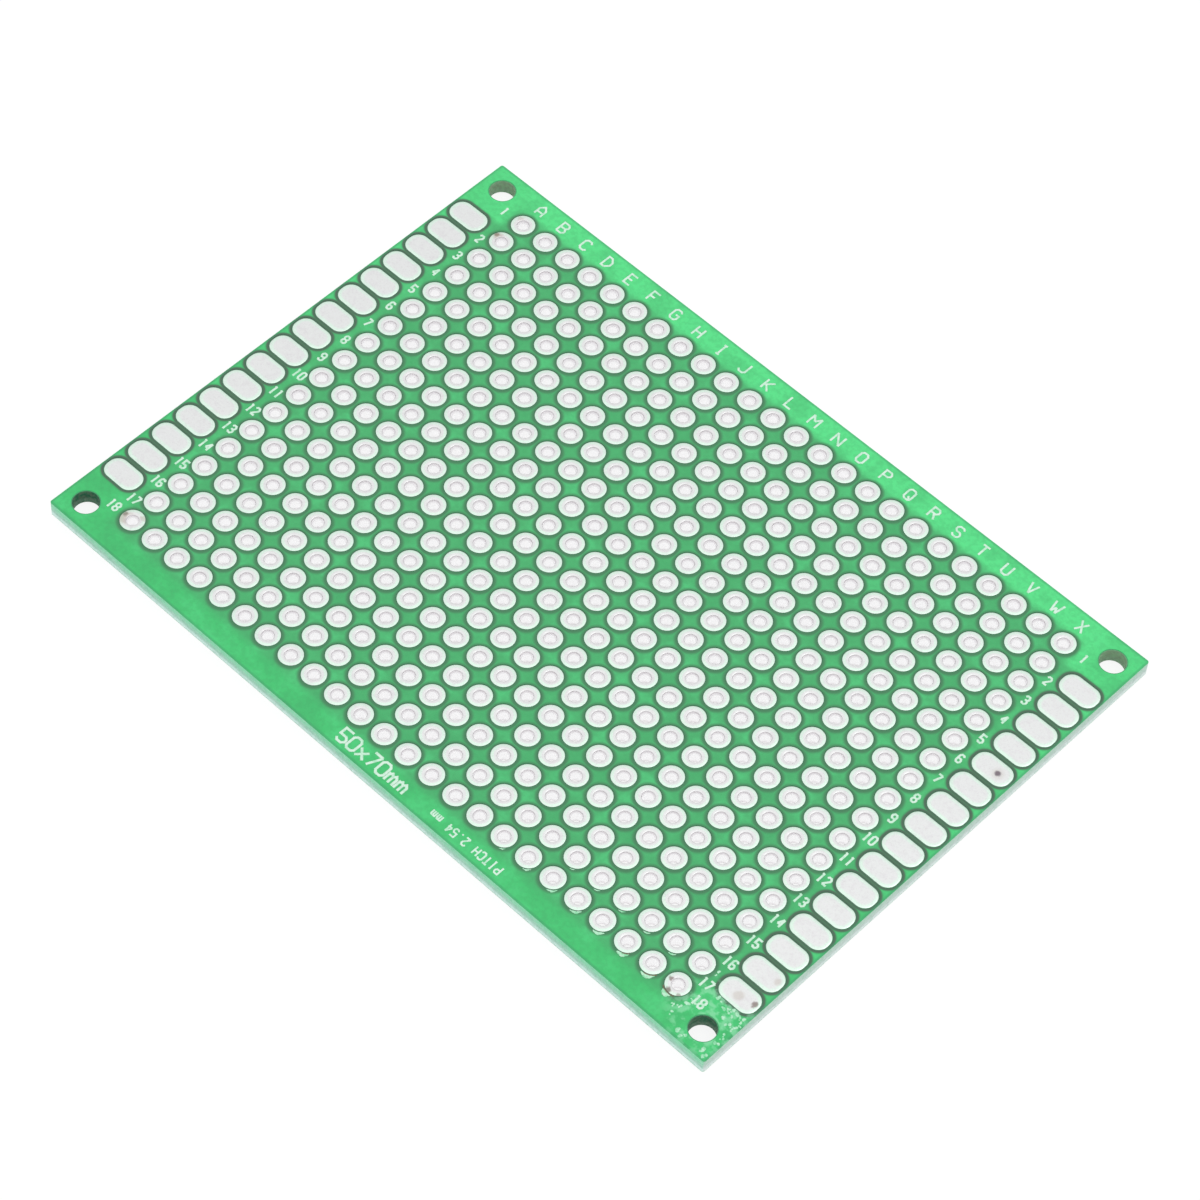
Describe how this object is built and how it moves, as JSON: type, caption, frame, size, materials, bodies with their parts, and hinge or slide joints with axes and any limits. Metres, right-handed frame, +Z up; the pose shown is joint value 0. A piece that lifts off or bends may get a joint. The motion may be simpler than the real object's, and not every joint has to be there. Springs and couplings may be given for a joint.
{
  "type": "prototype board",
  "caption": "Green double-sided prototype board with a grid of tinned plated holes, oblong pads along both short ends and a screw hole in each corner.",
  "frame": {"origin": "middle of the board's outline, on the plane that the board's lower lands rest on", "axes": "+X along the long edge from column A to column X, +Y across the board towards the lettered edge (row 1), +Z up out of the lettered face"},
  "size_m": [0.07, 0.05, 0.0015],
  "materials": {
    "glass_epoxy": "routed glass-epoxy sheet, pale green at the edge",
    "solder_mask": "thin green solder mask, satin gloss",
    "tin": "hot-air levelled tin on copper, satin",
    "flux_residue": "dried crumbs and smears of soldering flux",
    "print": "thin white screen print"
  },
  "bodies": {
    "root": {"sheet": "glass_epoxy", "solder_mask_top": "solder_mask", "solder_mask_bottom": "solder_mask", "end_pads_left_top": "tin", "end_pads_right_top": "tin", "end_pads_left_bottom": "tin", "end_pads_right_bottom": "tin", "plated_holes_a": "tin", "plated_holes_b": "tin", "plated_holes_c": "tin", "plated_holes_d": "tin", "plated_holes_e": "tin", "plated_holes_f": "tin", "plated_holes_g": "tin", "plated_holes_h": "tin", "plated_holes_i": "tin", "plated_holes_j": "tin", "plated_holes_k": "tin", "plated_holes_l": "tin", "plated_holes_m": "tin", "plated_holes_n": "tin", "plated_holes_o": "tin", "plated_holes_p": "tin", "plated_holes_q": "tin", "plated_holes_r": "tin", "plated_holes_s": "tin", "plated_holes_t": "tin", "plated_holes_u": "tin", "plated_holes_v": "tin", "plated_holes_w": "tin", "plated_holes_x": "tin"}
  },
  "joints": []
}
